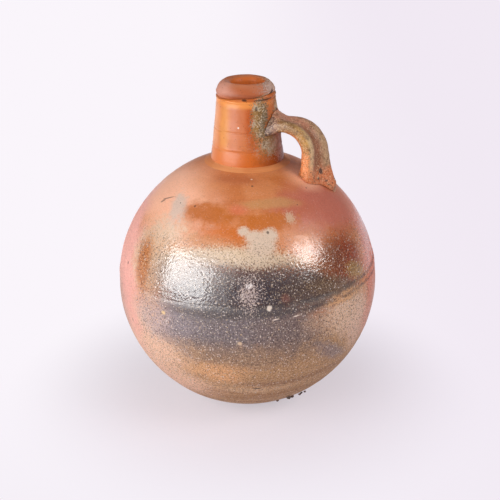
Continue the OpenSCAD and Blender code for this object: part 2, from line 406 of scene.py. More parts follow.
@dataclass(frozen=True)
class Neck:
    """The thrown neck, the slip wiped round its foot and the folded lip."""

    seat: float = 193.25 * MM
    foot: float = 27.4 * MM
    top: float = 243.25 * MM
    shoulder: float = 21.7 * MM
    bore: float = 20.5 * MM
    band: float = 10.5 * MM
    groove: float = 218.75 * MM
    bead: float = 5 * MM
    mouth: float = 11.2 * MM
    fold: float = 14 * MM
    fold_depth: float = 8 * MM
    crest: float = 16 * MM
    lip: float = 22 * MM
    crown: float = 253.45 * MM
    roll: float = 1.6 * MM
    nose: float = 3.2 * MM
    slip: float = 8.5 * MM
    edge: float = 241.8 * MM  # the fine edge under the lip
    drifted: float = 1.2 * MM
    steps: int = 224

    def wall(self, height: float) -> float:
        """Radius of the plain taper at a height."""
        return self.foot + (self.shoulder - self.foot) * (height - self.seat) / (self.top - self.seat)

    def skin(self, height: float) -> float:
        """Radius of the thrown outer face at a height, with its rings, groove, band and bead."""

        def bump(middle: float, width: float) -> float:
            """Soft single hump of height 1."""
            return math.exp(-(((height - middle) / width) ** 2))

        radius = self.wall(height)
        band_top = self.seat + self.band
        if height < band_top:
            share = (height - self.seat) / self.band
            radius += 0.22 * MM * 4 * share * (1 - share) + 0.1 * MM * share
        radius -= 0.2 * MM * bump(band_top + 0.9 * MM, 0.7 * MM)
        radius += 0.14 * MM * bump(band_top + 2.4 * MM, 0.8 * MM) + 0.06 * MM * bump(214.5 * MM, 2.4 * MM)
        radius -= 0.35 * MM * bump(self.groove, 0.5 * MM)
        radius += 0.05 * MM * bump(self.groove - 1.3 * MM, 0.8 * MM)
        radius -= 0.12 * MM * bump(227 * MM, 4 * MM)
        hollow = self.edge - 2.6 * MM
        radius += 0.08 * MM * bump(hollow - 3.4 * MM, 1.4 * MM) - 0.12 * MM * bump(hollow, 1.8 * MM)
        radius += 0.25 * MM * bump(self.edge - 0.7 * MM, 0.8 * MM)
        radius -= 0.4 * MM * bump(self.edge, 0.4 * MM)
        if height > self.edge:
            share = (height - self.edge) / (self.top - self.edge)
            radius += 0.45 * MM * 4 * share * (1 - share) - 0.4 * MM * share**4
        return radius

    def follow_lip(self, place: Vector) -> float:
        """How far the top of the neck stretches up or down to the lip's leaning lower edge at a place."""
        share = min(1.0, max(0.0, (place.z - self.edge) / (self.top - self.edge)))
        return share * self.lean(place)

    def lean(self, place: Vector) -> float:
        """How far the lip's lower edge lies above its level height at a place: low on the left, high on the right."""
        across = place.dot(facing(90))
        turn = math.atan2(place.x, -place.y)
        return 0.5 * MM + 0.085 * across + 0.18 * MM * math.sin(5 * turn + 1) + 0.1 * MM * math.sin(11 * turn)

    def tube(self) -> bpy.types.Object:
        """Throws the neck.

        Returns:
            The closed tube.
        """
        count = 130
        outer = []
        for index in range(count + 1):
            height = self.seat + (self.top - self.seat) * index / count
            outer.append((self.skin(height), height))
        throat = self.top - self.fold_depth
        inner = [(self.fold, self.top), (self.fold, throat), (self.bore, self.seat)]
        piece = turned("thrown_neck", outer + inner, self.steps, Vector(), Vector((0, 0, 1)), facing(180))
        Bench.shift(piece, "Z", self.follow_lip)
        self.drift(piece)
        group = Bench.weigh(piece, "outside", self.outside)
        Bench.rough_up(piece, 22 * MM, 0.5 * MM, 0.6, group)
        crust = Bench.weigh(piece, "crust", self.crusted)
        Bench.rough_up(piece, 2.6 * MM, 0.6 * MM, 0.35, crust)
        piece.vertex_groups.clear()
        Bench.smooth(piece, 45)
        return piece

    def drift(self, piece: bpy.types.Object) -> None:
        """Leans the top of the neck and the lip to the left, as they were thrown; the mouth stays in place."""

        def share(place: Vector) -> float:
            """How much of the drift a place takes."""
            high = min(1.0, max(0.0, (place.z - self.seat) / (self.top - self.seat)))
            return high * high * min(1.0, max(0.0, (math.hypot(place.x, place.y) - 12 * MM) / (4 * MM)))

        way = facing(-90) * self.drifted
        Bench.shift(piece, "X", lambda place: way.x * share(place))
        Bench.shift(piece, "Y", lambda place: way.y * share(place))

    def outside(self, place: Vector) -> float:
        """1 on the outer face, fading out at the foot and under the lip."""
        radius = math.hypot(place.x, place.y)
        if radius < self.shoulder - 1.2 * MM:
            return 0.0
        low = min(1.0, (place.z - self.seat) / (6 * MM))
        high = min(1.0, (self.top - place.z) / (6 * MM))
        return max(0.0, min(low, high))

    def crusted(self, place: Vector) -> float:
        """How thick the ash run lies at a place on the neck or the lip."""
        radius = math.hypot(place.x, place.y)
        if radius < self.mouth + 3 * MM or (place.z < self.top - 0.2 * MM and radius < self.bore + 0.3 * MM):
            return 0.0
        frayed = place + noise.noise_vector(place * 200) * 2.5 * MM
        return max(self.ash_at(flash, frayed) for flash in (*neck_flashes(), *lip_flashes()) if flash.crust)

    def ash_at(self, flash: "Flash", place: Vector) -> float:
        """How thick one ash patch lies at a place."""
        away = place - facing(flash.right) * self.wall(flash.up * MM) - Vector((0, 0, flash.up * MM))
        side, out = away.dot(facing(flash.right + 90)), away.dot(facing(flash.right))
        far = Vector((side / (flash.wide * MM), away.z / (flash.tall * MM), out / (16 * MM))).length
        return min(1.0, max(0.0, (1.05 - far) / 0.4))

    def wiped_slip(self, ball: Ball) -> bpy.types.Object:
        """Wipes the slip into the corner between neck and ball.

        Args:
            ball: the ball it lies on.

        Returns:
            The closed ring.
        """

        def on_ball(radius: float, proud: float) -> tuple[float, float]:
            """A point on the ball's surface, or a little proud of it."""
            height = math.sqrt(ball.radius**2 - radius**2)
            scale = 1 + proud / ball.radius
            return radius * scale, ball.middle + height * scale

        inner, outer = self.foot - 1.2 * MM, self.foot + self.slip - 1 * MM
        over = []
        count = 16
        for index in range(count + 1):
            share = index / count
            proud = 1.0 * MM * (1 - share) ** 1.6 * (1 + 0.25 * math.sin(math.pi * share)) - 0.25 * MM * share
            over.append(on_ball(inner + (outer - inner) * share, proud))
        under = [on_ball(outer, -0.9 * MM), on_ball(inner, -0.9 * MM)]
        piece = turned("wiped_slip", over + under, self.steps, Vector(), Vector((0, 0, 1)), facing(180))
        Bench.smooth(piece, 50)
        return piece

    def folded_lip(self) -> bpy.types.Object:
        """Folds the rim over to the lip, its lower edge uneven as the finger left it.

        Returns:
            The closed ring.
        """
        low = self.top
        roll_z = low + self.nose
        outline: Outline = [(self.mouth, low - self.fold_depth), (self.fold - 0.02 * MM, low - self.fold_depth)]
        outline += [(self.fold - 0.02 * MM, low), (self.shoulder - 2.2 * MM, low - 0.1 * MM)]
        for index in range(9):
            angle = math.radians(-90 + 90 * index / 8)
            outline.append((self.lip - self.roll + self.roll * math.cos(angle), roll_z + self.nose * math.sin(angle)))
        outline += bulge(outline[-1], (self.crest + 0.45 * MM, self.crown - 0.06 * MM), 1.0 * MM, 16)[1:]
        funnel = self.crest - self.mouth
        for index in range(11):
            angle = math.radians(86 + 94 * index / 10)
            outline.append((self.crest + funnel * math.cos(angle), self.crown - funnel + funnel * math.sin(angle)))
        piece = turned("folded_lip", outline, self.steps, Vector(), Vector((0, 0, 1)), facing(180))
        Bench.shift(piece, "Z", self.lean_edge)
        self.drift(piece)
        group = Bench.weigh(piece, "outside", lambda place: 1.0 if place.z > self.top + 3 * MM else 0.0)
        Bench.rough_up(piece, 14 * MM, 0.5 * MM, 0.95, group)
        crust = Bench.weigh(piece, "crust", self.crusted)
        Bench.rough_up(piece, 2.4 * MM, 0.7 * MM, 0.7, crust)
        piece.vertex_groups.clear()
        Bench.smooth(piece, 50)
        return piece

    def lean_edge(self, place: Vector) -> float:
        """How far the lip moves with its leaning lower edge at a place, less and less up to the crest."""
        if math.hypot(place.x, place.y) < self.shoulder - 3 * MM:
            return 0.0
        share = min(1.0, max(0.0, 1 - (place.z - self.top) / (7.5 * MM)))
        return self.lean(place) * share * share


@dataclass(frozen=True)
class Strap:
    """The pulled strap handle, one length of clay from neck to shoulder."""

    nodes: tuple[str, ...] = ("handle_root", "handle_strap", "handle_foot")
    voxel: float = 0.6 * MM
    root: tuple[float, float] = (24 * MM, 222.75 * MM)  # where the middle line leaves the neck
    bend: float = 20 * MM
    bend_start: float = 8.5 * MM
    bend_turn: float = 87.0
    length: float = 61.3 * MM
    drift: float = 4 * MM
    rolls: tuple[float, float] = (-10.0, 30.0)
    chart: ClassVar[str] = "strap_chart"

    def course(self, way: float) -> tuple[Vector, Vector, Vector, Vector]:
        """The strap's own axes at a way along its middle line.

        Args:
            way: metres from the neck.

        Returns:
            The middle, and the unit vectors across, outwards and onwards.
        """
        bend_end = self.bend_start + self.bend * math.radians(self.bend_turn)
        turn = min(max(0.0, way - self.bend_start), bend_end - self.bend_start) / self.bend
        after = max(0.0, way - bend_end)
        onward = Vector((math.cos(turn), 0, -math.sin(turn)))
        share = min(1.0, max(0.0, way / self.length))
        middle = Vector((self.root[0] + min(way, self.bend_start), self.drift * share, self.root[1]))
        middle += Vector((math.sin(turn), 0, math.cos(turn) - 1)) * self.bend + onward * after
        roll = math.radians(self.rolls[0] + (self.rolls[1] - self.rolls[0]) * share)
        out, side = Vector((math.sin(turn), 0, math.cos(turn))), Vector((0, 1, 0))
        across = side * math.cos(roll) + out * math.sin(roll)
        return middle, across, out * math.cos(roll) - side * math.sin(roll), onward

    def map_out(self, piece: bpy.types.Object) -> None:
        """Stores for every point how far it lies across, along and above the strap's middle.

        Args:
            piece: the strap.
        """
        count = 160
        stations = [self.course(self.length * index / count) for index in range(count + 1)]
        tree = KDTree(len(stations))
        for index, station in enumerate(stations):
            tree.insert(station[0], index)
        tree.balance()
        chart = piece.data.attributes.new(self.chart, "FLOAT_VECTOR", "POINT")
        for vertex in piece.data.vertices:
            _, index, _ = tree.find(vertex.co)
            middle, across, out, onward = stations[index]
            away = vertex.co - middle
            along = self.length * index / count + away.dot(onward)
            chart.data[vertex.index].vector = (away.dot(across), along, away.dot(out))

    def grooved(self, piece: bpy.types.Object) -> Callable[[Vector], float]:
        """Where the finger groove between the ribs is pressed deeper.

        Args:
            piece: the strap.

        Returns:
            A rule that gives the weight at a place.
        """
        chart = piece.data.attributes[self.chart].data
        places = {tuple(vertex.co): Vector(chart[vertex.index].vector) for vertex in piece.data.vertices}

        def rule(place: Vector) -> float:
            """The weight at one place."""
            across, along, lift = places[tuple(place)]
            if lift < 0:
                return 0.0
            ends = min(1.0, max(0.0, along / (10 * MM))) * min(1.0, max(0.0, (self.length - along) / (10 * MM)))
            return ends * math.exp(-(((across + 1.5 * MM) / (4.2 * MM)) ** 2))

        return rule

    def build(self) -> bpy.types.Object:
        """Merges copies of the part's three lengths and works them over.

        Returns:
            The closed strap.
        """
        Bench.clear()
        lengths = []
        for node in self.nodes:
            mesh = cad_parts[node].data.copy()
            length = bpy.data.objects.new(f"{node}_clay", mesh)
            bpy.context.scene.collection.objects.link(length)
            lengths.append(length)
        Bench.take(lengths[0])
        for length in lengths:
            length.select_set(True)
        bpy.ops.object.join()
        piece = bpy.context.active_object
        piece.name = piece.data.name = "pulled_strap"
        Bench.edit()
        bpy.ops.mesh.select_all(action="SELECT")
        bpy.ops.mesh.remove_doubles(threshold=0.005 * MM)
        bpy.ops.mesh.select_all(action="DESELECT")
        bpy.ops.mesh.select_interior_faces()
        bpy.ops.mesh.delete(type="FACE")
        Bench.done(piece)
        Bench.modify(piece, "REMESH", mode="VOXEL", voxel_size=self.voxel, use_smooth_shade=True)
        Bench.modify(piece, "SMOOTH", factor=0.5, iterations=3)
        self.map_out(piece)
        groove = Bench.weigh(piece, "groove", self.grooved(piece))
        Bench.modify(piece, "DISPLACE", strength=-0.9 * MM, mid_level=0.0, vertex_group=groove)
        piece.vertex_groups.clear()
        Bench.shift(piece, "X", self.trimmed)
        Bench.rough_up(piece, 12 * MM, 0.6 * MM, 0.6)
        Bench.rough_up(piece, 3 * MM, 0.3 * MM, 0.6)
        Bench.smooth(piece, 60)
        return piece

    def trimmed(self, place: Vector) -> float:
        """How far the far corner of the foot is pressed in at a place."""
        low = min(1.0, max(0.0, (178 * MM - place.z) / (14 * MM)))
        far = min(1.0, max(0.0, (place.y - 4 * MM) / (12 * MM)))
        return -4 * MM * low * far * min(1.0, max(0.0, (place.x - 52 * MM) / (8 * MM)))


@dataclass(frozen=True)
class Crumbs:
    """Kiln sand fused to the underside."""

    node: str = "kiln_grit"

    def build(self) -> bpy.types.Object:
        """Roughens a copy of the part's crumbs.

        Returns:
            The crumbs as one mesh.
        """
        Bench.clear()
        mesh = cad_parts[self.node].data.copy()
        piece = bpy.data.objects.new("kiln_crumbs", mesh)
        bpy.context.scene.collection.objects.link(piece)
        Bench.take(piece)
        Bench.edit()
        bpy.ops.mesh.select_all(action="SELECT")
        bpy.ops.mesh.remove_doubles(threshold=0.005 * MM)
        Bench.done(piece)
        Bench.modify(piece, "REMESH", mode="VOXEL", voxel_size=0.22 * MM, use_smooth_shade=True)
        Bench.rough_up(piece, 0.9 * MM, 0.9 * MM, 0.6)
        Bench.smooth(piece, 50)
        return piece


# --------------------------------------------------------------------------- materials

Value = float | Colour | Vector | tuple[float, float, float] | bpy.types.NodeSocket


class Tree:
    """Adds and joins nodes in one material or group."""

    def __init__(self, nodes: bpy.types.NodeTree) -> None:
        """Keeps the tree."""
        self.tree = nodes

    def put(self, socket: bpy.types.NodeSocket, value: Value) -> None:
        """Links a socket into another, or sets its constant."""
        if isinstance(value, bpy.types.NodeSocket):
            self.tree.links.new(value, socket)
        else:
            socket.default_value = value

    def node(self, kind: str, inputs: dict[str | int, Value] | None = None, **settings: object) -> bpy.types.Node:
        """Adds a node.

        Args:
            kind: its type without the ShaderNode prefix.
            inputs: what goes into its sockets, by name or number.
            settings: its properties.

        Returns:
            The node.
        """
        made = self.tree.nodes.new("ShaderNode" + kind)
        for key, value in settings.items():
            setattr(made, key, value)
        for key, value in (inputs or {}).items():
            self.put(made.inputs[key], value)
        return made

    def math(self, operation: str, *values: Value, clamp: bool = False) -> bpy.types.NodeSocket:
        """A Math node's result."""
        return self.node("Math", dict(enumerate(values)), operation=operation, use_clamp=clamp).outputs[0]

    def step(self, value: Value, low: float, high: float, to_low: float = 0, to_high: float = 1) -> bpy.types.NodeSocket:
        """Smooth step from to_low at low to to_high at high."""
        inputs = {"Value": value, "From Min": low, "From Max": high, "To Min": to_low, "To Max": to_high}
        return self.node("MapRange", inputs, interpolation_type="SMOOTHSTEP").outputs["Result"]

    def mix(self, share: Value, first: Value, second: Value, blend: str = "MIX") -> bpy.types.NodeSocket:
        """Mixes two colours."""
        made = self.node("Mix", data_type="RGBA", blend_type=blend)
        for index, value in ((0, share), (6, first), (7, second)):
            self.put(made.inputs[index], value)
        return made.outputs[2]

    def noise(self, place: Value, scale: float, detail: float = 2, rough: float = 0.5) -> bpy.types.NodeSocket:
        """A noise value at a place."""
        inputs = {"Vector": place, "Scale": scale, "Detail": detail, "Roughness": rough}
        return self.node("TexNoise", inputs).outputs[0]

    def stretch(self, place: Value, scale: tuple[float, float, float]) -> bpy.types.NodeSocket:
        """Scales a place along each axis."""
        return self.node("Mapping", {"Vector": place, "Scale": scale}).outputs[0]

    def use(self, group: bpy.types.NodeTree, **inputs: Value) -> bpy.types.NodeOutputs:
        """Places a node group, its inputs given with underscores for spaces.

        Args:
            group: the group.
            inputs: what goes into its sockets.

        Returns:
            The group's outputs.
        """
        made = self.tree.nodes.new("ShaderNodeGroup")
        made.node_tree = group
        for key, value in inputs.items():
            self.put(made.inputs[key.replace("_", " ")], value)
        return made.outputs


class Effects:
    """The node groups that more than one finish uses."""

    def __init__(self) -> None:
        """Builds each group once."""
        self.flash = self.make_flash()
        self.specks = self.make_specks()
        self.peel = self.make_peel()
        self.turning = self.make_turning()

    @staticmethod
    def start(name: str, takes: dict[str, str], gives: dict[str, str]) -> tuple[Tree, dict, dict]:
        """Opens a new group with its sockets.

        Args:
            name: the group's name.
            takes: input names and socket types.
            gives: output names and socket types.

        Returns:
            The tree, its input sockets and its output sockets.
        """
        group = bpy.data.node_groups.new(name, "ShaderNodeTree")
        for in_out, sockets in (("INPUT", takes), ("OUTPUT", gives)):
            for label, kind in sockets.items():
                group.interface.new_socket(name=label, in_out=in_out, socket_type="NodeSocket" + kind)
        source = group.nodes.new("NodeGroupInput")
        target = group.nodes.new("NodeGroupOutput")
        return Tree(group), source.outputs, target.inputs

    def make_flash(self) -> bpy.types.NodeTree:
        """A patch with a ragged edge, 1 inside and 0 outside; Reach is four times its half size."""
        takes = {"Place": "Vector", "Centre": "Vector", "Turn": "Vector", "Reach": "Vector"}
        takes |= {"Edge": "Float", "Ragged": "Float", "Soft": "Float"}
        tree, source, target = self.start("fire_flash", takes, {"Mask": "Float"})
        inputs = {"Vector": source["Place"], "Location": source["Centre"], "Rotation": source["Turn"]}
        local = tree.node("Mapping", inputs | {"Scale": source["Reach"]}, vector_type="TEXTURE").outputs[0]
        near = tree.node("TexGradient", {"Vector": local}, gradient_type="SPHERICAL").outputs[1]
        far = tree.math("MULTIPLY_ADD", near, -4.0, 4.0)
        far = tree.math("ADD", far, tree.math("MULTIPLY", tree.math("SUBTRACT", source["Edge"], 0.5), source["Ragged"]))
        mask = tree.node("MapRange", {"Value": far}, interpolation_type="SMOOTHSTEP")
        tree.put(mask.inputs["From Min"], tree.math("ADD", source["Soft"], 1.0))
        tree.put(mask.inputs["From Max"], tree.math("SUBTRACT", 1.0, source["Soft"]))
        tree.put(target["Mask"], mask.outputs["Result"])
        return tree.tree

    def make_specks(self) -> bpy.types.NodeTree:
        """Scattered grains: 1 on a grain."""
        takes = {"Place": "Vector", "Scale": "Float", "Share": "Float", "Size": "Float"}
        tree, source, target = self.start("clay_specks", takes, {"Mask": "Float"})
        warp = tree.node("TexNoise", {"Vector": source["Place"], "Scale": 900.0, "Detail": 1.0})
        bent = tree.mix(0.0006, source["Place"], warp.outputs["Color"], "ADD")
        cells = tree.node("TexVoronoi", {"Vector": bent, "Scale": source["Scale"]})
        apart = tree.node("SeparateColor", {0: cells.outputs["Color"]})
        picked = tree.math("LESS_THAN", apart.outputs[0], source["Share"])
        size = tree.math("MULTIPLY", source["Size"], tree.math("ADD", 0.4, apart.outputs[1]))
        near = tree.math("SUBTRACT", 1.0, tree.math("DIVIDE", cells.outputs["Distance"], size), clamp=True)
        tree.put(target["Mask"], tree.math("MULTIPLY", picked, tree.step(near, 0.0, 0.35)))
        return tree.tree

    def make_peel(self) -> bpy.types.NodeTree:
        """Orange-peel relief of salt glaze as a height in metres."""
        takes = {"Place": "Vector", "Scale": "Float", "Depth": "Float"}
        tree, source, target = self.start("orange_peel", takes, {"Height": "Float"})
        inputs = {"Vector": source["Place"], "Scale": source["Scale"], "Smoothness": 0.6}
        cells = tree.node("TexVoronoi", inputs, feature="SMOOTH_F1")
        fine = tree.node("TexNoise", {"Vector": source["Place"], "Scale": source["Scale"], "Detail": 3.0})
        both = tree.math("ADD", tree.math("MULTIPLY", cells.outputs["Distance"], -0.9), fine.outputs[0])
        tree.put(target["Height"], tree.math("MULTIPLY", both, source["Depth"]))
        return tree.tree

    def make_turning(self) -> bpy.types.NodeTree:
        """Level lines that the wheel left, from 0 to 1."""
        tree, source, target = self.start("turning_lines", {"Place": "Vector", "Pitch": "Float"}, {"Lines": "Float"})
        flat = tree.node("Mapping", {"Vector": source["Place"], "Scale": (0.05, 0.05, 1.0)}).outputs[0]
        inputs = {"Vector": flat, "Scale": source["Pitch"], "Detail": 3.0, "Roughness": 0.65}
        tree.put(target["Lines"], tree.node("TexNoise", inputs).outputs[0])
        return tree.tree


class Edge(Enum):
    """How the border of a patch breaks up."""

    SOFT = "soft"
    RAGGED = "ragged"
    STIPPLED = "stippled"


@dataclass(frozen=True)
class Flash:
    """One patch that fire, salt or ash left, or a patch of painted light or painted shade.

    Right and up say where its middle is: degrees right of the photographed front and degrees above the ball's middle.
    On the neck up is the height in millimetres, and on the strap both are millimetres, across it and along it.
    Wide and tall are half sizes in millimetres, and roll leans the patch anticlockwise, in degrees.
    """

    name: str
    right: float
    up: float
    wide: float
    tall: float
    colour: Colour
    strength: float = 1.0
    soft: float = 0.4
    ragged: float = 0.5
    edge: Edge = Edge.RAGGED
    roll: float = 0.0
    crust: bool = False  # a rough mottled crust instead of a plain colour


class Coat:
    """One material while its layers are laid on."""

    def __init__(self, name: str, effects: Effects, base: Colour, chart: str = "") -> None:
        """Starts a material.

        Args:
            name: its name.
            effects: the shared groups.
            base: the clay's colour.
            chart: the attribute that patches are placed by, instead of object coordinates.
        """
        self.material = bpy.data.materials.new(name)
        self.material.use_nodes = True
        self.tree = Tree(self.material.node_tree)
        self.shader = self.material.node_tree.nodes["Principled BSDF"]
        self.effects = effects
        self.place = self.tree.node("TexCoord").outputs["Object"]
        self.chart = self.tree.node("Attribute", attribute_name=chart).outputs["Vector"] if chart else self.place
        self.soft = self.tree.noise(self.place, 60, 3, 0.5)
        self.ragged = self.tree.noise(self.place, 170, 5, 0.68)
        self.grit = self.tree.noise(self.place, 900, 3, 0.7)
        self.colour: Value = base
        self.crust: Value = self.tree.math("MULTIPLY", 0.0, 0.0)

    def lay(self, share: Value, colour: Value) -> None:
        """Lays a colour over what is there, as thick as share says."""
        self.colour = self.tree.mix(share, self.colour, colour)

    def mottled(self) -> bpy.types.NodeSocket:
        """The colour of an ash crust, between dark pits and pale grains."""
        broad = self.tree.mix(self.tree.step(self.ragged, 0.42, 0.58), clay(158, 118, 66), clay(190, 172, 144))
        dark = self.tree.mix(self.tree.step(self.grit, 0.45, 0.34), broad, clay(84, 62, 44))
        return self.tree.mix(self.tree.step(self.grit, 0.55, 0.68), dark, clay(216, 204, 182))

    def patch(self, flash: Flash, centre: Vector, turn: Euler, deep: float) -> bpy.types.NodeSocket:
        """Lays one patch.

        Args:
            flash: the patch.
            centre: its middle.
            turn: how its own axes lie: right, up and out.
            deep: how far it reaches in and out of the surface.

        Returns:
            Its mask, times its strength.
        """
        fray = {Edge.SOFT: self.soft, Edge.RAGGED: self.ragged, Edge.STIPPLED: self.grit}[flash.edge]
        lean = turn.to_matrix() @ Euler((0, 0, math.radians(flash.roll))).to_matrix()
        outputs = self.tree.use(
            self.effects.flash,
            Place=self.chart,
            Centre=centre,
            Turn=tuple(lean.to_euler("XYZ")),
            Reach=(4 * flash.wide * MM, 4 * flash.tall * MM, 4 * deep),
            Edge=fray,
            Ragged=flash.ragged * 2,
            Soft=flash.soft,
        )
        mask = self.tree.math("MULTIPLY", outputs["Mask"], flash.strength)
        self.lay(mask, self.mottled() if flash.crust else flash.colour)
        if flash.crust:
            self.crust = self.tree.math("MAXIMUM", self.crust, mask)
        return mask

    def speckle(self, scale: float, share: float, size: float, zone: Value, colour: Colour) -> bpy.types.NodeSocket:
        """Scatters grains of a colour.

        Args:
            scale: cells per metre.
            share: share of the cells that hold a grain.
            size: size of a grain against its cell.
            zone: how strong the grains show.
            colour: their colour.

        Returns:
            Where the grains are.
        """
        grains = self.tree.use(self.effects.specks, Place=self.place, Scale=scale, Share=share, Size=size)["Mask"]
        self.lay(self.tree.math("MULTIPLY", grains, zone), colour)
        return grains

    def fire(self, rough: Value, relief: Value, sheen: float) -> bpy.types.Material:
        """Ends the material.

        Args:
            rough: its roughness.
            relief: its small relief, in metres.
            sheen: the strength of its reflection, 0.5 as plain glass.

        Returns:
            The material.
        """
        tree = self.tree
        tree.put(self.shader.inputs["Base Color"], self.colour)
        tree.put(self.shader.inputs["Roughness"], rough)
        self.shader.inputs["Specular IOR Level"].default_value = sheen
        bump = tree.node("Bump", {"Strength": 1.0, "Distance": 1.0, "Height": relief})
        tree.put(self.shader.inputs["Normal"], bump.outputs[0])
        return self.material


